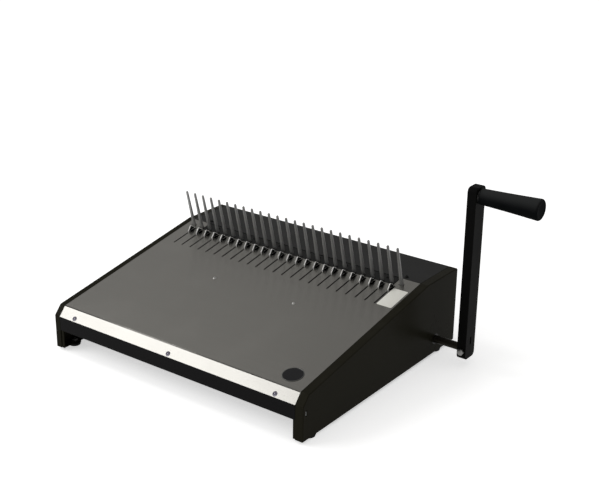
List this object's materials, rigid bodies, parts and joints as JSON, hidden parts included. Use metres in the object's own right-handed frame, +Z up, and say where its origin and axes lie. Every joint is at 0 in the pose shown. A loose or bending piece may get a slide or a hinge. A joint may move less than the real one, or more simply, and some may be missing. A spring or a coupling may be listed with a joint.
{
  "type": "comb binding opener",
  "caption": "Desktop opener for plastic binding combs: wedge-shaped case with a row of upright tines, sliding hooks in slots, and a hand lever at the right side.",
  "frame": {"origin": "on the desk plane, under the middle of the case's rectangular footprint", "axes": "+X to the user's right, where the lever is; +Y to the rear; +Z up"},
  "size_m": [0.525, 0.3354, 0.2401],
  "materials": {
    "black_case": "black powder coat, fine grain, satin",
    "stainless": "semi-polished stainless sheet",
    "plated_steel": "zinc plated",
    "bright_steel": "ground and polished",
    "dark_steel": "dark oiled steel",
    "bronze": "plain bronze",
    "black_lever": "black, satin",
    "black_plastic": "moulded, satin",
    "pale_plastic": "plain",
    "rubber": "matt",
    "black_screw": "black oxide",
    "pale_plate": "bare, satin",
    "dark_badge": "bare, gloss"
  },
  "bodies": {
    "case": {"side_plate_left": "black_case", "side_plate_right": "black_case", "front_cover": "black_case", "top_panel": "stainless", "rear_cover": "black_case", "front_rail": "plated_steel", "rear_rail": "plated_steel", "deck_rail": "plated_steel", "panel_stiffener": "plated_steel", "bearing_plate_left": "plated_steel", "bearing_plate_right": "plated_steel", "tine_bar": "plated_steel", "tine_clamp": "plated_steel", "tine_clamp_screws": "plated_steel", "comb_tines": "dark_steel", "shaft_bush_left": "bronze", "shaft_bush_right": "bronze", "rubber_feet": "rubber", "foot_screws": "plated_steel", "foot_nuts": "plated_steel", "strip_screws": "bright_steel", "panel_screws": "bright_steel", "deck_screws": "black_screw", "rear_screws": "black_screw", "rating_plate": "pale_plate", "round_badge": "dark_badge"},
    "lever": {"cross_shaft": "bright_steel", "lever_arm": "black_lever", "lever_bolt": "plated_steel", "lever_nut": "plated_steel", "grip_stud": "plated_steel", "grip_washer": "plated_steel", "hand_grip": "black_plastic", "crank_left": "plated_steel", "crank_right": "plated_steel", "crank_pins": "bright_steel", "crank_set_screws": "dark_steel", "friction_washers": "pale_plastic"},
    "carriage": {"carriage_bar": "plated_steel", "comb_hooks": "bright_steel", "carriage_screws": "plated_steel", "slide_arm_left": "plated_steel", "slide_arm_right": "plated_steel", "guide_pins": "bright_steel"}
  },
  "joints": [
    {"name": "lever_turn", "type": "hinge", "parent": "case", "child": "lever", "pos_m": [0, 0.1184, 0.0226], "axis": [1, 0, 0], "range_deg": [0, 40]},
    {"name": "carriage_slide", "type": "slide", "parent": "case", "child": "carriage", "axis": [0, -0.9838, -0.1795], "range_m": [0, 0.03]}
  ],
  "couplings": [
    {"joint": "carriage_slide", "follows": "lever_turn", "m_per_rad": 0.04297}
  ]
}
